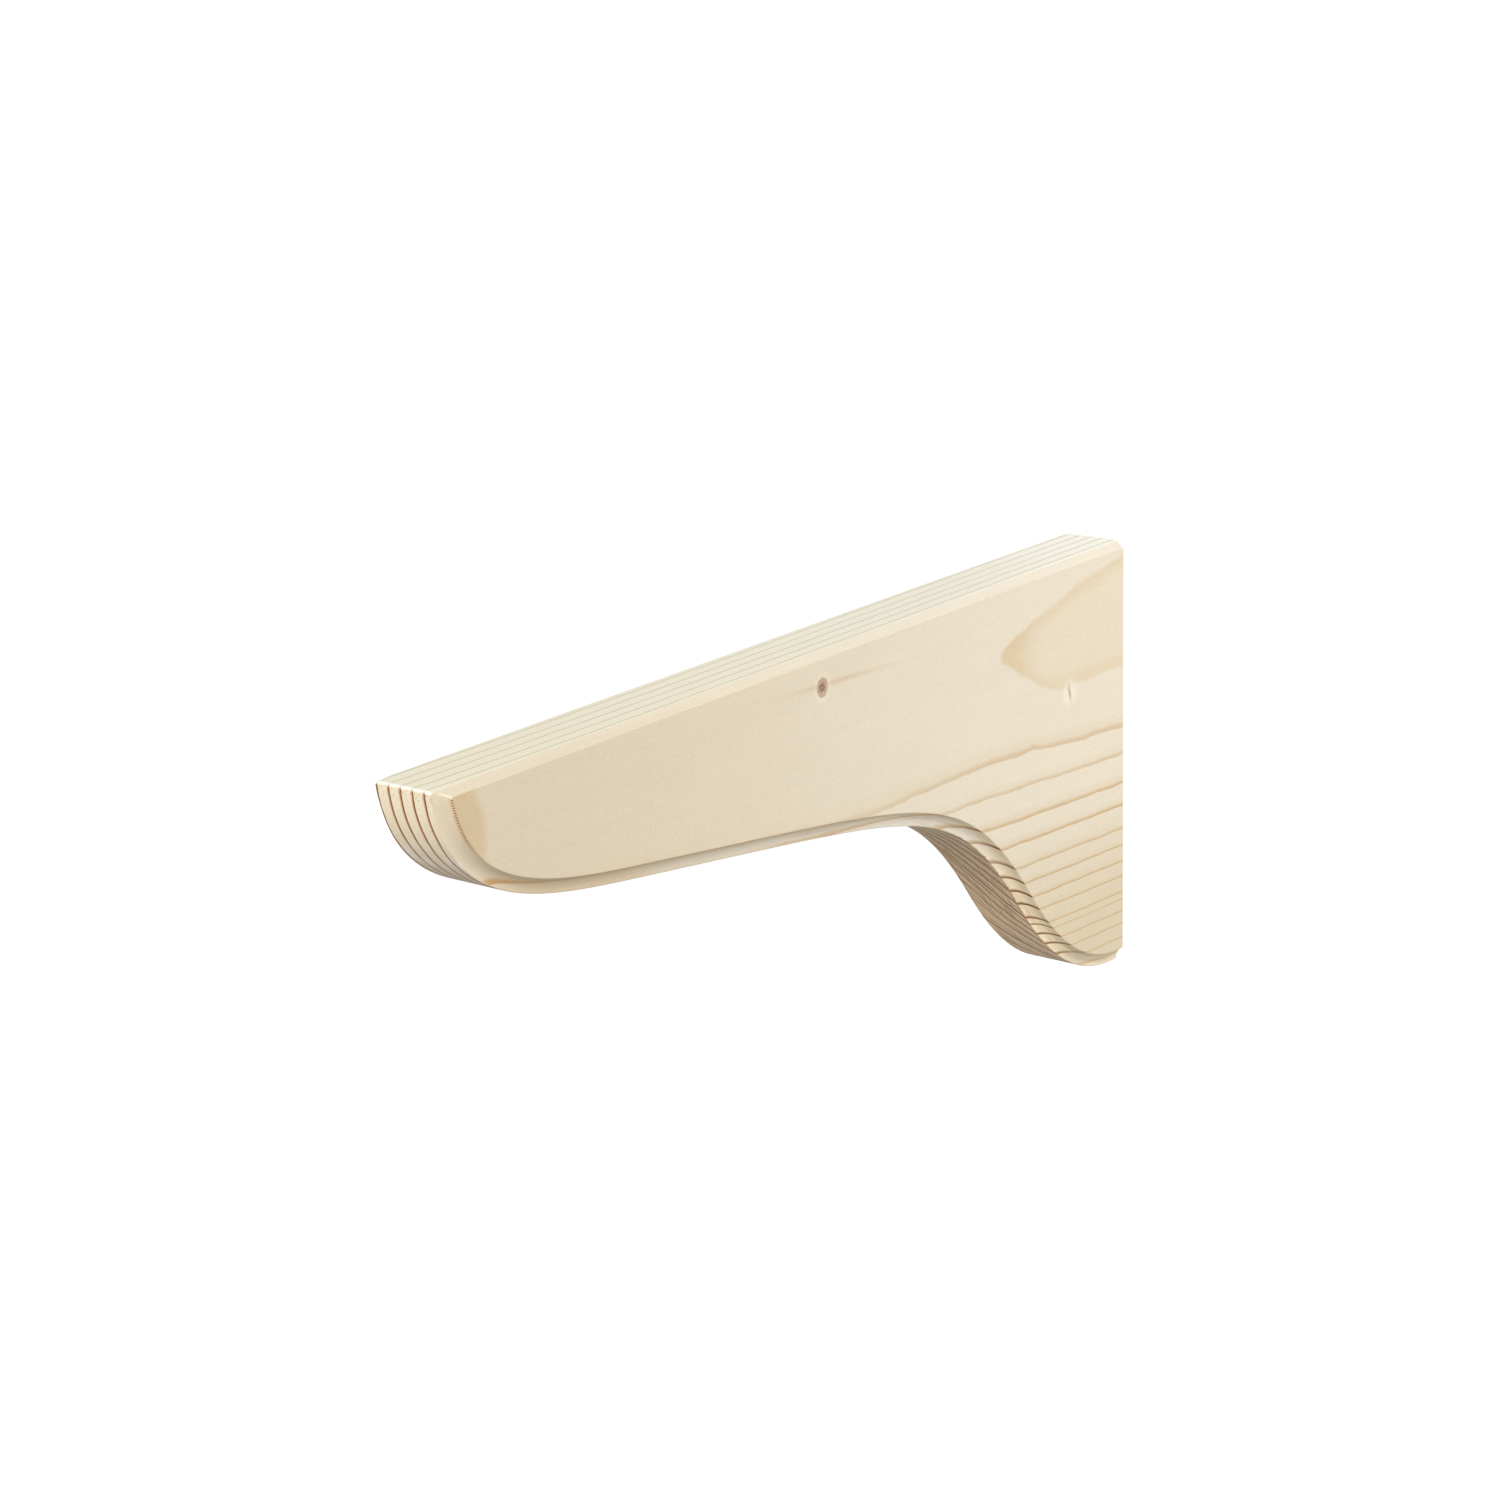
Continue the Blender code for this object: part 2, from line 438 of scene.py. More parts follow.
def section(outline, depth, top, inset):
    """A closed loop in (y, z), with the underside cut in by depth, and the run of each of its points."""
    curve = outline.offset(depth)
    first = int(np.argmax(curve[:, 1] <= top + TOUCH))
    start = 0.0
    if first > 0:
        beside = slice(first - 1, first + 1)
        start = np.interp(-top, -curve[beside, 1], outline.length[beside])
    end = np.interp(-inset, curve[-FOOT_SAMPLES:, 0], outline.length[-FOOT_SAMPLES:])
    nose_corner = sampled(np.array([start]), outline.length, curve)[0]
    nose_corner[1] = top
    foot_corner = sampled(np.array([end]), outline.length, curve)[0]
    wall_top_corner = np.array((-inset, top))
    lengths = start + NOSE_EASING + outline.fractions * (end - start - NOSE_EASING - WALL_EASING)
    under = sampled(lengths, outline.length, curve)
    wall_low = foot_corner + (0, WALL_EASING)
    wall_high = wall_top_corner - (0, WALL_EASING)
    top_back = wall_top_corner - (WALL_EASING, 0)
    top_front = nose_corner + (NOSE_EASING, 0)
    up_the_wall = np.linspace(0, 1, WALL_POINTS)[:, None]
    along_the_top = packed_ends(np.linspace(0, 1, TOP_POINTS))[:, None]
    loop = np.vstack([
        under,
        rounded_corner(under[-1], foot_corner, wall_low),
        wall_low + up_the_wall * (wall_high - wall_low),
        rounded_corner(wall_high, wall_top_corner, top_back),
        top_back + along_the_top * (top_front - top_back),
        rounded_corner(top_front, nose_corner, under[0]),
    ])
    run = np.full(len(loop), OFF_THE_UNDERSIDE)
    run[:len(under)] = lengths
    return loop, run


# Profile across the thickness

def half_profile():
    """Slices from the middle to the side face: distance from the middle, depth of the cut, inset."""
    radius = (COVE_WIDTH**2 / COVE_DEPTH + COVE_DEPTH) / 2
    centre = HALF_THICKNESS + radius - COVE_DEPTH
    arris = HALF_THICKNESS - COVE_DEPTH
    slices = [(x, 0.0, 0.0) for x in MIDDLE_SLICES]
    for inside_edge, depth in ARRIS_ROUNDING:
        slices.append((arris - ARRIS_EASING * inside_edge, ARRIS_EASING * depth, 0.0))
    cove_end = HALF_THICKNESS - SIDE_EASING * COVE_END
    last = math.asin(COVE_WIDTH / radius)
    first = math.asin(ARRIS_EASING * COVE_START / radius)
    for angle in np.linspace(first, last, COVE_SLICES)[:-1]:
        x = centre - radius * math.cos(angle)
        slices.append((min(x, cove_end), radius * math.sin(angle), 0.0))
    slices.append((cove_end, COVE_WIDTH, 0.0))
    for inside_edge, depth in SIDE_ROUNDING:
        slices.append((HALF_THICKNESS - SIDE_EASING * inside_edge, COVE_WIDTH + SIDE_EASING * depth, 0.0))
    slices.append((HALF_THICKNESS, COVE_WIDTH + SIDE_EASING + SIDE_MARGIN, SIDE_MARGIN))
    return slices


def edge_inset(x):
    """How far the rounding of the side face's edge has drawn the shape in, at this distance."""
    reach = max(0.0, x - (HALF_THICKNESS - SIDE_EASING))
    return SIDE_EASING - math.sqrt(max(0.0, SIDE_EASING**2 - reach**2))


def top_height(x):
    """Height of the top at this distance from the middle, with the chamfer's arrises eased."""
    start = HALF_THICKNESS - CHAMFER_WIDTH
    past = (x - start + math.hypot(x - start, CHAMFER_EASING)) / 2
    return HEIGHT / 2 - CHAMFER_DROP / CHAMFER_WIDTH * past - edge_inset(x) * TOP_EDGE_DROP


# The bracket's mesh

def inside(points, loop):
    hit = np.zeros(len(points), dtype=bool)
    for (y0, z0), (y1, z1) in zip(loop, np.roll(loop, -1, axis=0)):
        if z0 == z1:
            continue
        crosses = (points[:, 1] < z0) != (points[:, 1] < z1)
        hit ^= crosses & (points[:, 0] < (y1 - y0) * (points[:, 1] - z0) / (z1 - z0) + y0)
    return hit


def distance_to(points, loop):
    best = np.full(len(points), np.inf)
    for corner in loop:
        best = np.minimum(best, np.hypot(*(points - corner).T))
    return best


def side_grid(loop):
    """Staggered rows of points over a side face, clear of its edge."""
    low, high = loop.min(axis=0), loop.max(axis=0)
    grid = []
    z = low[1] + SIDE_GRID
    staggered = False
    while z < high[1]:
        y = low[0] + (SIDE_GRID / 2 if staggered else 0.0)
        while y < high[0]:
            grid.append((y, z))
            y += SIDE_GRID
        z += SIDE_GRID * SIDE_GRID_ROW
        staggered = not staggered
    grid = np.array(grid)
    return grid[inside(grid, loop) & (distance_to(grid, loop) > SIDE_GRID * SIDE_GRID_CLEARANCE)]


def side_fill(loop):
    """Triangles that fill one side face: points, triangles, and where each point is in the loop or -1."""
    inner = side_grid(loop)
    for knot_y, knot_z, reach_y, reach_z in KNOTS:
        away = np.hypot((inner[:, 0] - knot_y) / reach_y, (inner[:, 1] - knot_z) / reach_z)
        inner = inner[away > KNOT_MESH_CLEARANCE]
        spots = [(knot_y, knot_z)]
        for ring in KNOT_MESH_RINGS:
            for angle in KNOT_MESH_ANGLES:
                spot_y = knot_y + ring * reach_y * math.cos(angle)
                spots.append((spot_y, knot_z + ring * reach_z * math.sin(angle)))
        inner = np.vstack((inner, spots))
    points = [Vector(point) for point in np.vstack((loop, inner))]
    count = len(loop)
    edges = [(i, (i + 1) % count) for i in range(count)]
    flat, _, triangles, source, _, _ = geometry.delaunay_2d_cdt(points, edges, [], 1, WELD)
    places = [found[0] if found and found[0] < count else -1 for found in source]
    return flat, triangles, places


def ramp(values, ends):
    """0 at the first end and 1 at the second."""
    return np.clip((values - ends[0]) / (ends[1] - ends[0]), 0, 1)


def worn(points):
    """Wears the top's end corners, and dips the near side face at its knots."""
    x, y, z = points.T
    corner = ramp(np.abs(x), WEAR_SIDE) * ramp(z, WEAR_HEIGHT)
    nose = NOSE_WEAR * np.exp(-((y + LENGTH - NOSE_WEAR_PLACE) / NOSE_WEAR_REACH) ** 2)
    wall = WALL_WEAR * np.exp(-(y / WALL_WEAR_REACH) ** 2)
    z = z - corner * (nose + wall)
    for (knot_y, knot_z, reach_y, reach_z), dip in zip(KNOTS, KNOT_DIPS):
        away = np.hypot((y - knot_y) / reach_y, (z - knot_z) / reach_z)
        bowl = (1 + np.cos(np.pi * np.clip(away / DIP_REACH, 0, 1))) / 2
        x = np.where(x > HALF_THICKNESS - SIDE_TOUCH, x - dip * bowl, x)
    return np.column_stack((x, y, z))


def bracket_mesh(outline):
    """The whole bracket as one closed mesh, with the run and the cut stored at each point."""
    half = half_profile()
    slices = [(-x, depth, inset) for x, depth, inset in reversed(half)] + half[1:]
    points = []
    runs = []
    cuts = []
    for x, depth, inset in slices:
        loop, run = section(outline, depth, top_height(abs(x)) - inset, edge_inset(abs(x)) + inset)
        points += [(x, y, z) for y, z in loop]
        runs += list(run)
        cuts += [depth] * len(loop)
    count = len(loop)
    faces = []
    for start in range(0, count * (len(slices) - 1), count):
        for i in range(count):
            j = (i + 1) % count
            faces.append((start + i, start + j, start + count + j, start + count + i))
    for start, turned in ((0, True), (count * (len(slices) - 1), False)):
        x = points[start][0]
        loop = np.array(points[start:start + count])[:, 1:]
        flat, triangles, places = side_fill(loop)
        index = []
        for (y, z), place in zip(flat, places):
            index.append(start + place if place >= 0 else len(points))
            if place < 0:
                points.append((x, y, z))
                runs.append(OFF_THE_UNDERSIDE)
                cuts.append(SIDE_FACE_CUT)
        for triangle in triangles:
            corners = [index[i] for i in triangle]
            faces.append(corners[::-1] if turned else corners)
    mesh = bpy.data.meshes.new("corbel_bracket_wood")
    mesh.from_pydata((worn(np.array(points)) * MM).tolist(), [], faces)
    for name, values in (("run", runs), ("cut", cuts)):
        layer = mesh.attributes.new(name, "FLOAT", "POINT")
        layer.data.foreach_set("value", values)
    return mesh


def add_bracket(material):
    mesh = bracket_mesh(Outline())
    mesh.materials.append(material)
    mesh.validate()
    mesh.shade_smooth()
    bracket = bpy.data.objects.new("corbel_bracket_wood", mesh)
    bpy.context.scene.collection.objects.link(bracket)
    even_shading = bracket.modifiers.new("even_shading", "WEIGHTED_NORMAL")
    even_shading.weight = SHADING_WEIGHT
    return bracket


# Materials

def linear(red, green, blue):
    """A colour given as 0-255 display values."""
    def one(value):
        value /= 255
        return value / 12.92 if value <= 0.04045 else ((value + 0.055) / 1.055) ** 2.4
    return one(red), one(green), one(blue), 1.0


class Graph:
    """Short names for the nodes that a material is written with."""

    def __init__(self, tree):
        self.tree = tree

    def feed(self, socket, value):
        if isinstance(value, bpy.types.NodeSocket):
            self.tree.links.new(value, socket)
        else:
            socket.default_value = value

    def node(self, kind, **settings):
        node = self.tree.nodes.new(kind)
        for name, value in settings.items():
            setattr(node, name, value)
        return node

    def op(self, operation, *values):
        node = self.node("ShaderNodeMath", operation=operation)
        for socket, value in zip(node.inputs, values):
            self.feed(socket, value)
        return node.outputs[0]

    def add(self, total, *values):
        for value in values:
            total = self.op("ADD", total, value)
        return total

    def times(self, total, *values):
        for value in values:
            total = self.op("MULTIPLY", total, value)
        return total

    def minus(self, a, b):
        return self.op("SUBTRACT", a, b)

    def most(self, a, b):
        return self.op("MAXIMUM", a, b)

    def length(self, a, b):
        return self.op("SQRT", self.add(self.times(a, a), self.times(b, b)))

    def series(self, value, first, *rest):
        """The first number, plus the second by the value, plus the third by its square, and so on."""
        if not rest:
            return first
        return self.add(first, self.times(value, self.series(value, *rest)))

    def step(self, value, low, high, start=0.0, end=1.0):
        """Goes smoothly from start, where the value is low, to end, where it is high."""
        node = self.node("ShaderNodeMapRange", interpolation_type="SMOOTHSTEP")
        for socket, item in zip(node.inputs, (value, low, high, start, end)):
            self.feed(socket, item)
        return node.outputs[0]

    def fade(self, value, low, high):
        """Goes smoothly from 1, where the value is low, to 0, where it is high."""
        return self.step(value, low, high, 1.0, 0.0)

    def bell(self, value, middle, width):
        """One at the middle, and nearly nothing beyond twice the width."""
        away = self.times(self.minus(value, middle), 1 / width)
        return self.op("POWER", math.e, self.times(away, away, -1.0))

    def mean(self, share, a, b):
        """The first number where the share is 0, and the second where it is 1."""
        return self.add(a, self.times(share, self.minus(b, a)))

    def blend(self, share, a, b, kind="MIX"):
        """The first colour where the share is 0, and the second where it is 1."""
        node = self.node("ShaderNodeMix", data_type="RGBA", blend_type=kind)
        self.feed(node.inputs[0], share)
        self.feed(node.inputs[6], a)
        self.feed(node.inputs[7], b)
        return node.outputs[2]

    def noise(self, place, density, detail, roughness):
        stretched = self.node("ShaderNodeVectorMath", operation="MULTIPLY")
        self.feed(stretched.inputs[0], place)
        self.feed(stretched.inputs[1], density)
        node = self.node("ShaderNodeTexNoise")
        self.feed(node.inputs["Vector"], stretched.outputs[0])
        self.feed(node.inputs["Scale"], 1.0)
        self.feed(node.inputs["Detail"], detail)
        self.feed(node.inputs["Roughness"], roughness)
        return node.outputs[0]

    def split(self, vector):
        node = self.node("ShaderNodeSeparateXYZ")
        self.feed(node.inputs[0], vector)
        return node.outputs

    def attribute(self, name):
        return self.node("ShaderNodeAttribute", attribute_name=name).outputs["Fac"]


class Wood(Graph):
    """The bracket's wood: which surface a point is on, which ring it is in, and its colour so far."""

    def __init__(self, tree):
        super().__init__(tree)
        source = self.node("ShaderNodeTexCoord")
        scaled = self.node("ShaderNodeVectorMath", operation="SCALE")
        self.feed(scaled.inputs[0], source.outputs["Object"])
        self.feed(scaled.inputs["Scale"], 1 / MM)
        self.place = scaled.outputs[0]
        self.x, self.y, self.z = self.split(self.place)
        self.nx, self.ny, self.nz = self.split(source.outputs["Normal"])
        self.run = self.attribute("run")
        self.cut = self.attribute("cut")
        self.find_surfaces()
        self.find_rings()
        self.find_lines()
        self.fibre = self.grain(FIBRE_GRAIN)
        self.grit = self.swing(KNOT_GRIT)
        self.near_face = self.step(self.x, *NEAR_FACE)
        self.colour = self.ringed_wood()

    def grain(self, kind):
        return self.noise(self.place, *kind)

    def swing(self, kind):
        """Grain that swings evenly to both sides of zero."""
        return self.minus(self.grain(kind), 0.5)

    def paint(self, mask, colour):
        """Lays a colour over the wood where the mask is 1. Its fourth value is how much it covers."""
        share = self.times(mask, colour[3])
        self.colour = self.blend(share, self.colour, linear(*colour[:3]))

    def tinted(self, tint):
        return self.blend(1.0, self.colour, (*tint, 1.0), "MULTIPLY")

    def find_surfaces(self):
        """Masks for the faces, the coves and the stretches of the underside."""
        worked = self.step(self.run, -0.5, -0.05)
        flat_below = self.times(self.step(self.cut, *UNCUT), worked)
        in_cut = self.times(self.step(self.cut, *COVE_ARRIS), self.step(self.cut, *COVE_RIM))
        side = self.step(self.op("ABSOLUTE", self.nx), *FACING_SIDE)
        self.before_foot = self.step(self.run, LEG_END, LEG_END - FOOT_FADE)
        across = self.add(
            self.step(self.run, NOSE_RUN, 15.0),
            self.times(self.step(self.run, 184.0, 226.0), self.before_foot),
        )
        self.in_cove = self.times(in_cut, worked)
        self.flank = self.times(side, self.step(self.cut, *SIDE_RIM))
        self.near_side = self.times(self.flank, self.step(self.x, 0.0, 1.0))
        self.upward = self.step(self.nz, *FACING_UP)
        facing = self.step(self.op("ABSOLUTE", self.ny), *FACING_ALONG)
        self.end_grain = self.most(facing, self.times(self.in_cove, across))
        self.low = self.times(self.step(self.z, *LEG_HEIGHTS), self.step(self.y, *LEG_LENGTHS))
        self.leg_cove = self.times(self.in_cove, self.low)
        self.under_leg = self.times(self.step(self.run, LEG_START, LEG_START + 30.0), flat_below)
        self.under_nose = self.times(
            self.step(self.run, 19.0, 34.0), self.step(self.run, 80.0, 55.0), flat_below
        )

    def ring_years(self, ring):
        """Moves each ring to where its year ended, as some years grew less than others."""
        node = self.node("ShaderNodeFloatCurve")
        first, span = RING_RANGE
        curve = node.mapping.curves[0]
        curve.points[0].location = (0.0, 0.0)
        curve.points[-1].location = (1.0, 1.0)
        for even, grown in RING_YEARS:
            curve.points.new((even - first) / span, (grown - first) / span)
        for point in curve.points:
            point.handle_type = "VECTOR"
        node.mapping.update()
        self.feed(node.inputs["Value"], self.times(self.minus(ring, first), 1 / span))
        return self.add(self.times(node.outputs[0], span), first)

    def find_rings(self):
        """The number of the ring at each point, with a fraction for how far its year has gone."""
        along = self.times(self.y, 1 / LENGTH)
        pith_x = self.series(along, *PITH_AWAY)
        pith_z = self.series(along, *PITH_HEIGHT)
        radius = self.length(self.minus(pith_x, self.x), self.minus(self.z, pith_z))
        slow = self.swing(SLOW_GRAIN)
        self.quick = self.swing(QUICK_GRAIN)
        below_top = self.step(self.z, *BELOW_TOP)
        bulge_along = self.bell(self.y, BULGE_PLACE[0], BULGE_REACH[0])
        bulge_up = self.bell(self.z, BULGE_PLACE[1], BULGE_REACH[1])
        sag_along = self.times(self.step(self.y, *SAG_START), self.step(self.y, *SAG_END))
        lift_along = self.bell(self.y, LIFT_PLACE, LIFT_REACH)
        lift_up = self.times(self.step(self.z, *LIFT_HEIGHTS), below_top)
        ring = self.add(
            self.times(self.minus(radius, FIRST_RING_RADIUS), 1 / RING_SPACING),
            self.times(slow, SLOW_BEND),
            self.times(self.quick, QUICK_BEND),
            self.times(BULGE, bulge_along, bulge_up),
            self.times(SAG, sag_along, below_top),
            self.times(LIFT, lift_along, lift_up),
        )
        self.ring = self.mean(self.low, self.add(ring, LEG_SHIFT), self.ring_years(ring))

    def find_lines(self):
        """The tan shoulder and the dark core of each ring's line, and how strongly it is drawn."""
        outward = self.most(self.low, self.flank)
        outward = self.most(outward, self.times(self.in_cove, self.step(self.run, 18.0, 28.0)))
        outward = self.most(outward, self.step(self.ny, *FACING_WALL))
        share = self.op("FRACT", self.ring)
        share = self.mean(outward, self.minus(1.0, share), share)
        fall = self.fade(share, *LINE_FALL)
        side_shoulder = self.step(share, *SIDE_TAN_RISE)
        end_shoulder = self.step(share, *END_TAN_RISE)
        self.shoulder = self.times(self.mean(self.flank, end_shoulder, side_shoulder), fall)
        at_nose = self.times(self.step(self.run, -0.5, 0.0), self.step(self.run, NOSE_RUN, 30.0))
        core_start = self.add(
            RING_CORE,
            self.times(self.leg_cove, LEG_COVE_WIDENING),
            self.times(self.under_leg, UNDER_LEG_WIDENING),
            self.times(at_nose, NOSE_WIDENING),
        )
        side_core = self.step(share, RING_CORE, RING_EDGE)
        end_core = self.step(share, core_start, RING_EDGE)
        self.core = self.times(self.mean(self.flank, end_core, side_core), fall)
        self.strength = self.line_strength()

    def line_strength(self):
        number = self.op("FLOOR", self.add(self.ring, 0.5))
        lottery = self.node("ShaderNodeTexWhiteNoise", noise_dimensions="1D")
        self.feed(lottery.inputs["W"], number)
        self.patchy = self.grain(PATCH_GRAIN)
        base = self.add(
            LINE_STRENGTH,
            self.times(lottery.outputs[0], RING_LOTTERY),
            self.times(self.patchy, PATCHINESS),
        )
        down_the_leg = self.step(self.z, 12.0, -22.0, 0.72, 1.25)
        on_side = self.times(base, down_the_leg, self.step(self.y, -110.0, -55.0, 0.7, 1.0))
        on_leg = self.most(self.leg_cove, self.under_leg)
        on_end = self.op("MINIMUM", self.times(base, self.mean(on_leg, END_STRENGTH, LEG_STRENGTH)), 1.0)
        toward_near_side = self.step(self.x, -7.0, 2.0, 0.6, 1.25)
        toward_wall = self.step(self.y, -200.0, -20.0, 1.0, 0.6)
        on_end = self.times(
            on_end,
            self.mean(self.under_leg, 1.0, toward_near_side),
            self.mean(self.upward, 1.0, toward_wall),
        )
        last_on_side = self.step(self.ring, -0.6, -0.35)
        last_on_end = self.step(self.ring, -0.75, -0.5)
        drawn = self.mean(self.flank, last_on_end, last_on_side)
        return self.times(self.mean(self.flank, on_end, on_side), drawn)

    def pale_wood(self):
        """The wood between the lines, with painted light that brightens the side and the top toward the
        wall.
        """
        toward_wall = self.step(self.y, -215.0, -40.0)
        side = self.blend(toward_wall, linear(*SIDE_AT_NOSE), linear(*SIDE_LIT_AT_WALL))
        side = self.blend(self.step(self.z, 0.0, -42.0), side, linear(*SIDE_AT_FOOT))
        top = self.blend(toward_wall, linear(*TOP_AT_NOSE), linear(*TOP_ALONG))
        top = self.blend(self.step(self.y, -70.0, 0.0), top, linear(*TOP_LIT_AT_WALL))
        return self.blend(self.end_grain, self.blend(self.upward, side, top), linear(*END_WOOD))

    def ringed_wood(self):
        leg = self.times(self.low, self.minus(1.0, self.flank))
        side_line = self.blend(self.upward, linear(*SIDE_LINE), linear(*TOP_LINE))
        nose_line = self.blend(self.in_cove, linear(*NOSE_LINE), linear(*COVE_LINE))
        leg_line = self.blend(self.in_cove, linear(*UNDER_LEG_LINE), linear(*LEG_COVE_LINE))
        line = self.blend(self.end_grain, side_line, self.blend(leg, nose_line, leg_line))
        side_tan = self.blend(self.upward, linear(*SIDE_TAN), linear(*TOP_TAN))
        end_tan = self.blend(leg, linear(*END_TAN), linear(*LEG_TAN))
        tan = self.blend(self.end_grain, side_tan, end_tan)
        tan_strength = self.mean(self.flank, END_TAN_STRENGTH, SIDE_TAN_STRENGTH)
        tan_share = self.times(self.shoulder, self.strength, tan_strength)
        ringed = self.blend(tan_share, self.pale_wood(), tan)
        return self.blend(self.times(self.core, self.strength), ringed, line)

    def extra_line(self, shift, wander, start, end):
        """A line between two rings."""
        share = self.op("FRACT", self.add(self.ring, shift, self.times(self.quick, wander)))
        return self.times(self.step(share, start, 0.92), self.step(share, 1.0, end))

    def lines_under_leg(self):
        """Under the leg the rings' lines are doubled here and there, and fine stripes run along it."""
        second = self.times(self.extra_line(0.36, 0.5, 0.80, 0.95), self.step(self.patchy, 0.34, 0.5))
        third = self.times(self.extra_line(0.70, 0.8, 0.84, 0.96), self.step(self.patchy, 0.60, 0.42), 0.5)
        fading = self.step(self.run, 236.0, 215.0, 0.5, 0.9)
        self.paint(self.times(self.most(second, third), self.under_leg, fading), EXTRA_LINE)
        stripes = self.step(self.grain(STRIPE_GRAIN), 0.5, 0.68)
        self.paint(self.times(stripes, self.most(self.under_leg, self.times(self.leg_cove, 0.5))), STRIPE)

    def tongue_and_patch(self):
        """The ring nearest the pith is cut at a shallow angle, near the wall and at the nose."""
        waver = self.swing(TONGUE_GRAIN)
        below_ceiling = self.minus(self.series(self.y, *TONGUE_CEILING), self.z)
        past_turn = self.minus(TONGUE_TURN, self.y)
        rise = self.add(past_turn, self.length(past_turn, TONGUE_TURN_ROUNDING))
        above_ground = self.minus(self.z, self.add(TONGUE_GROUND, self.times(TONGUE_SLOPE, rise)))
        from_end = self.minus(self.y, TONGUE_END)
        depth = self.op("SMOOTH_MIN", below_ceiling, above_ground, TONGUE_TIP_ROUNDING)
        depth = self.op("SMOOTH_MIN", depth, from_end, TONGUE_END_ROUNDING)
        depth = self.add(depth, TONGUE_WIDENING, self.times(waver, TONGUE_WAVER))
        tongue = self.times(self.step(depth, -0.7, 0.7), self.near_side)
        self.paint(tongue, TONGUE)
        self.paint(self.times(self.fade(depth, 0.2, 5.0), tongue), TONGUE_EDGE)
        tip_along = self.bell(self.y, TONGUE_TIP_PLACE[0], TONGUE_TIP_REACH[0])
        tip_up = self.bell(self.z, TONGUE_TIP_PLACE[1], TONGUE_TIP_REACH[1])
        self.paint(self.times(tip_along, tip_up, tongue), TONGUE_TIP)
        up = self.minus(self.z, PATCH_PLACE[1])
        curve = self.times(up, up, PATCH_CURVE)
        patch_edge = self.add(self.minus(self.y, PATCH_PLACE[0]), curve, self.times(waver, PATCH_WAVER))
        self.paint(self.times(self.fade(patch_edge, -2.0, 1.2), self.near_side), NOSE_PATCH)

    def fibres_and_fuzz(self):
        """Fibres, streaks and fuzz, and painted shade that makes the chamfers a little darker than the
        faces.
        """
        # Where the chamfers get painted shade
        chamfer_shade_mask = self.times(self.step(self.nz, 0.55, 0.7), self.fade(self.nz, 0.86, 0.96))
        streak = self.swing(STREAK_GRAIN)
        blotch = self.swing(BLOTCH_GRAIN)
        fuzz = self.swing(FUZZ_GRAIN)
        grainy = self.mean(self.flank, END_FIBRES, SIDE_FIBRES)
        shade = self.add(
            1.0,
            self.times(chamfer_shade_mask, CHAMFER_PAINTED_SHADE),
            self.times(self.minus(self.fibre, 0.5), grainy),
            self.times(streak, grainy, STREAKS),
            self.times(blotch, BLOTCHES),
            self.times(fuzz, self.mean(self.flank, END_FUZZ, SIDE_FUZZ)),
        )
        self.colour = self.blend(1.0, self.colour, shade, "MULTIPLY")

    def from_knot(self, knot, raggedness):
        """Distance from a knot's middle, where its edge is 1."""
        knot_y, knot_z, reach_y, reach_z = knot
        sideways = self.times(self.minus(self.y, knot_y), 1 / reach_y)
        upward = self.times(self.minus(self.z, knot_z), 1 / reach_z)
        return self.add(self.length(sideways, upward), self.times(self.grit, raggedness))

    def dark_knot(self):
        """A dark pin knot with a pale halo, and a streak that runs through it."""
        knot_y, knot_z = DARK_KNOT[:2]
        away = self.from_knot(DARK_KNOT, DARK_KNOT_RAGGEDNESS)
        streak_z = self.series(self.minus(self.y, knot_y), knot_z + STREAK_RISE, STREAK_SLOPE)
        across = self.bell(self.minus(self.z, streak_z), 0.0, STREAK_WIDTH)
        streak = self.times(self.bell(self.y, STREAK_PLACE, STREAK_REACH), across)
        self.paint(self.times(streak, self.near_side), KNOT_STREAK)
        mottle = self.swing(KNOT_MOTTLE)
        self.paint(self.times(self.fade(away, 1.0, 1.7), self.near_face), DARK_KNOT_HALO)
        rim = self.times(self.fade(away, 0.8, 1.05), self.near_face)
        self.paint(self.times(rim, self.mottled(mottle, RIM_MOTTLE, DARK_KNOT_RIM)), DARK_KNOT_RIM)
        heart = self.times(self.fade(away, 0.3, 0.62), self.near_face)
        self.paint(self.times(heart, self.mottled(mottle, HEART_MOTTLE, DARK_KNOT_HEART)), DARK_KNOT_HEART)

    def mottled(self, mottle, strength, colour):
        """Makes a colour's cover uneven."""
        return self.add(1.0, self.times(mottle, strength / colour[3]))

    def pale_knot(self):
        """A pale knot with an upright slit."""
        knot_y, knot_z = PALE_KNOT[:2]
        away = self.from_knot(PALE_KNOT, PALE_KNOT_RAGGEDNESS)
        self.paint(self.times(self.fade(away, 0.5, 1.9), self.near_face), PALE_KNOT_HALO)
        lean = self.add(self.y, self.times(self.minus(self.z, knot_z), SLIT_LEAN))
        slit = self.times(self.bell(lean, knot_y, SLIT_WIDTH), self.bell(self.z, knot_z, SLIT_REACH))
        self.paint(self.times(slit, self.near_face), PALE_KNOT_SLIT)

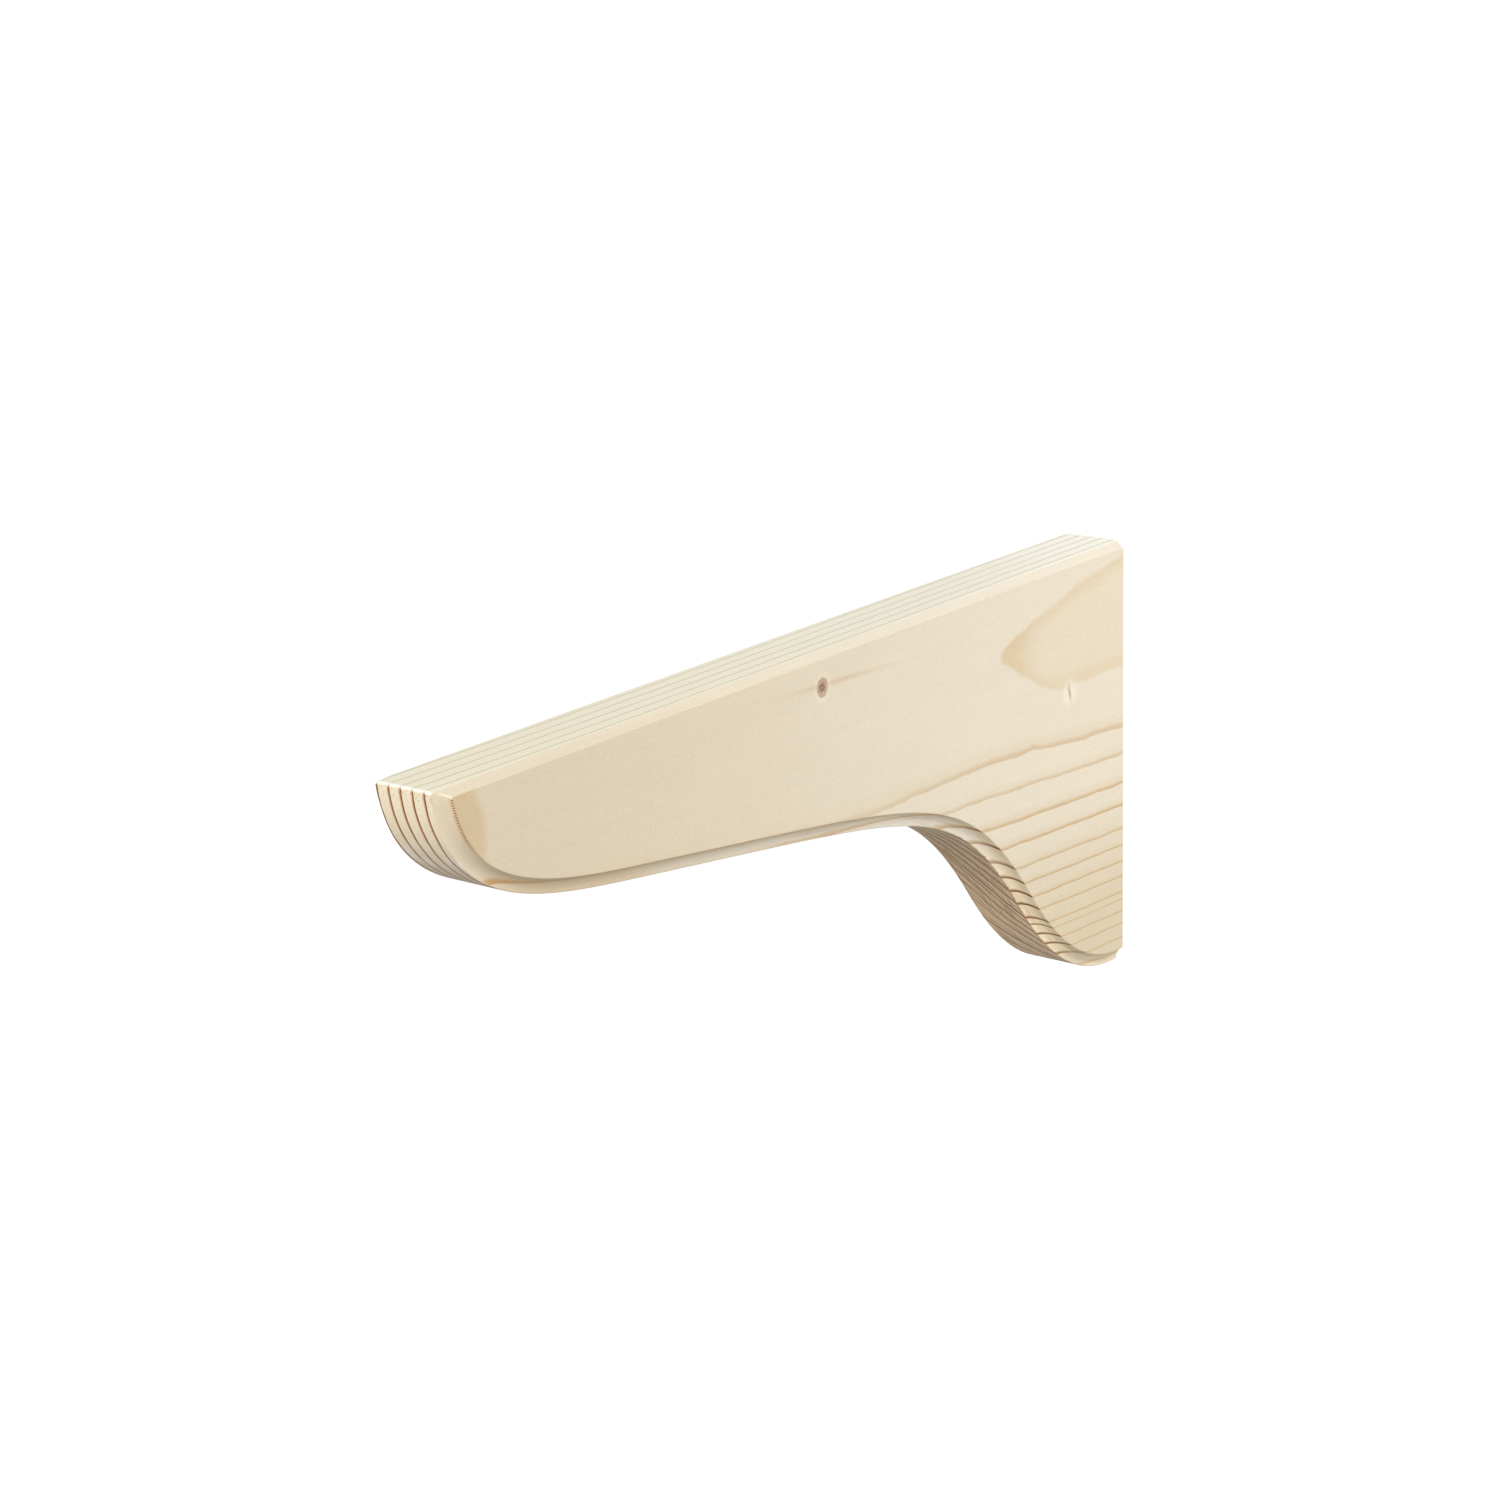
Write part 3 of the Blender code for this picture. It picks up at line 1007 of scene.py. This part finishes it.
    def cove_tints(self):
        """The cove is warm on the leg and under the nose, partly its own colour and partly painted warm
        shade, and pale elsewhere.
        """
        below_nose = self.times(self.step(self.run, 18.0, 40.0), self.step(self.run, 90.0, 60.0))
        on_leg = self.times(self.step(self.run, 190.0, 215.0), self.before_foot)
        pale = self.tinted(COVE_TINT)
        pale = self.blend(self.step(self.cut, 1.9, 2.9), pale, self.tinted(COVE_RIM_TINT))
        pale = self.blend(self.step(self.run, 40.0, 15.0), pale, self.tinted(NOSE_COVE_TINT))
        on_foot = self.step(self.run, LEG_END - 4.0, LEG_END + 6.0)
        pale = self.blend(on_foot, pale, self.tinted(FOOT_COVE_TINT))
        on_arm = self.step(self.run, 110.0, 80.0)
        # Warm tint, partly painted warm shade
        warm = self.blend(on_arm, self.tinted(LEG_COVE_WARM_SHADE_TINT), self.tinted(ARM_COVE_WARM_SHADE_TINT))
        tinted = self.blend(self.add(below_nose, on_leg), pale, warm)
        self.colour = self.blend(self.in_cove, self.colour, tinted)

    def underside_tints(self):
        """Under the leg the wood is warmer and brighter, partly its own colour and partly painted warm
        shade, and under the nose painted shade makes it a little darker and browner.
        """
        self.colour = self.blend(self.under_leg, self.colour, self.tinted(UNDER_LEG_WARM_SHADE_TINT))
        # Painted shade under the nose
        self.colour = self.blend(self.under_nose, self.colour, self.tinted(UNDER_NOSE_SHADE))

    def cutter_marks(self):
        """The row of marks that the cutter left where the cove meets the side face at the nose."""
        at_nose = self.times(self.step(self.run, *CUTTER_RUN), self.step(self.run, *CUTTER_RUN_END))
        self.paint(self.times(self.bell(self.cut, 3.15, 0.25), at_nose), CUTTER_GLOW)
        beat = self.op("FRACT", self.times(self.run, 1 / CUTTER_PITCH))
        notch = self.times(self.step(beat, 0.3, 0.5), self.step(beat, 1.0, 0.8))
        self.paint(self.times(self.bell(self.cut, 3.32, 0.2), at_nose, notch), CUTTER_MARK)

    def nose_face(self):
        """Specks and a pale sheen on the nose, and a painted highlight along the edge of its top."""
        face = self.times(
            self.step(self.run, 0.0, 0.3),
            self.fade(self.run, 30.0, 40.0),
            self.fade(self.cut, 0.1, 0.4),
        )
        specks = self.step(self.grain(SPECK_GRAIN), 0.52, 0.62)
        near_top = self.fade(self.run, 0.5, 3.5)
        crowding = self.add(0.15, self.times(near_top, 0.6), self.times(self.shoulder, 0.4))
        self.paint(self.times(specks, face, crowding), NOSE_SPECK)
        glint = self.step(self.grain(GLINT_GRAIN), 0.44, 0.6)
        between_lines = self.minus(1.0, self.core)
        self.paint(self.times(glint, self.bell(self.run, 18.5, 4.5), face, between_lines), NOSE_GLINT)
        # Painted highlight along the top edge of the nose
        inward = self.add(self.y, LENGTH - 0.3)
        from_edge = self.length(inward, self.minus(self.z, HEIGHT / 2 - 0.25))
        self.paint(self.step(from_edge, 0.55, 0.25), PAINTED_EDGE_HIGHLIGHT)


def wood_material():
    material = bpy.data.materials.new("pale_softwood")
    material.use_nodes = True
    shader = material.node_tree.nodes["Principled BSDF"]
    wood = Wood(material.node_tree)
    wood.lines_under_leg()
    wood.tongue_and_patch()
    wood.fibres_and_fuzz()
    wood.dark_knot()
    wood.pale_knot()
    wood.cove_tints()
    wood.underside_tints()
    wood.cutter_marks()
    wood.nose_face()
    roughness = wood.add(
        WOOD_ROUGHNESS,
        wood.times(wood.fibre, FIBRE_ROUGHNESS),
        wood.times(wood.core, LINE_ROUGHNESS),
    )
    bump = wood.node("ShaderNodeBump")
    wood.feed(bump.inputs["Strength"], RELIEF_STRENGTH)
    wood.feed(bump.inputs["Distance"], FIBRE_RELIEF)
    wood.feed(bump.inputs["Height"], wood.fibre)
    wood.feed(shader.inputs["Base Color"], wood.colour)
    wood.feed(shader.inputs["Roughness"], roughness)
    wood.feed(shader.inputs["Specular IOR Level"], WOOD_SPECULAR)
    wood.feed(shader.inputs["Normal"], bump.outputs[0])
    return material


def floor_material():
    material = bpy.data.materials.new("studio_floor")
    material.use_nodes = True
    shader = material.node_tree.nodes["Principled BSDF"]
    floor = Graph(material.node_tree)
    place = floor.node("ShaderNodeTexCoord").outputs["Object"]
    cloud = floor.noise(place, *FLOOR_GRAIN)
    lighter, darker = FLOOR_COLOURS
    floor.feed(shader.inputs["Base Color"], floor.blend(cloud, linear(*lighter), linear(*darker)))
    floor.feed(shader.inputs["Roughness"], FLOOR_ROUGHNESS)
    floor.feed(shader.inputs["Specular IOR Level"], FLOOR_SPECULAR)
    floor.feed(shader.inputs["Emission Color"], WHITE)
    floor.feed(shader.inputs["Emission Strength"], FLOOR_GLOW)
    return material


# Studio

def add_floor():
    corners = []
    for x, y in ((-1, -1), (1, -1), (1, 1), (-1, 1)):
        corners.append((x * FLOOR_REACH, y * FLOOR_REACH, FLOOR_HEIGHT))
    mesh = bpy.data.meshes.new("floor")
    mesh.from_pydata(corners, [], [(0, 1, 2, 3)])
    mesh.materials.append(floor_material())
    floor = bpy.data.objects.new("floor", mesh)
    bpy.context.scene.collection.objects.link(floor)
    floor.visible_diffuse = False


def add_softbox(name, place, target, size, power):
    data = bpy.data.lights.new(name, "AREA")
    data.shape = "SQUARE"
    data.size = size
    data.energy = power
    turn = (Vector(target) - Vector(place)).to_track_quat("-Z", "Y")
    softbox = bpy.data.objects.new(name, data)
    softbox.matrix_world = Matrix.Translation(place) @ turn.to_matrix().to_4x4()
    bpy.context.scene.collection.objects.link(softbox)


def add_world():
    """Light that is warm and dim from below and bright from above, with a white backdrop."""
    world = bpy.data.worlds.new("studio")
    bpy.context.scene.world = world
    world.use_nodes = True
    background = world.node_tree.nodes["Background"]
    sky = Graph(world.node_tree)
    height = sky.split(sky.node("ShaderNodeTexCoord").outputs["Generated"])[2]
    spread = sky.node("ShaderNodeMapRange")
    for socket, value in zip(spread.inputs, (height, *HORIZON)):
        sky.feed(socket, value)
    glow = sky.blend(spread.outputs[0], LIGHT_FROM_BELOW, LIGHT_FROM_ABOVE)
    seen = sky.node("ShaderNodeLightPath").outputs["Is Camera Ray"]
    sky.feed(background.inputs["Color"], sky.blend(seen, glow, WHITE))
    sky.feed(background.inputs["Strength"], 1.0)


def add_camera():
    yaw, pitch, roll = CAMERA_YAW, CAMERA_PITCH, CAMERA_ROLL
    level = math.cos(pitch)
    forward = Vector((-math.sin(yaw) * level, math.cos(yaw) * level, -math.sin(pitch)))
    right = Vector((math.cos(yaw), math.sin(yaw), 0.0))
    down = forward.cross(right)
    across = math.cos(roll) * right + math.sin(roll) * down
    below = -math.sin(roll) * right + math.cos(roll) * down
    turn = Matrix((across, -below, -forward)).transposed()
    data = bpy.data.cameras.new("camera")
    data.lens = CAMERA_LENS
    data.sensor_width = SENSOR_WIDTH
    data.clip_start, data.clip_end = CLIP
    camera = bpy.data.objects.new("camera", data)
    camera.matrix_world = Matrix.Translation(CAMERA_PLACE) @ turn.to_4x4()
    bpy.context.scene.collection.objects.link(camera)
    bpy.context.scene.camera = camera


add_camera()
add_world()
for softbox_name, settings in SOFTBOXES.items():
    add_softbox(softbox_name, *settings)
add_floor()
bpy.context.scene.view_settings.view_transform = "Standard"

bracket = add_bracket(wood_material())
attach(bracket, "root")
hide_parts("corbel_bracket")
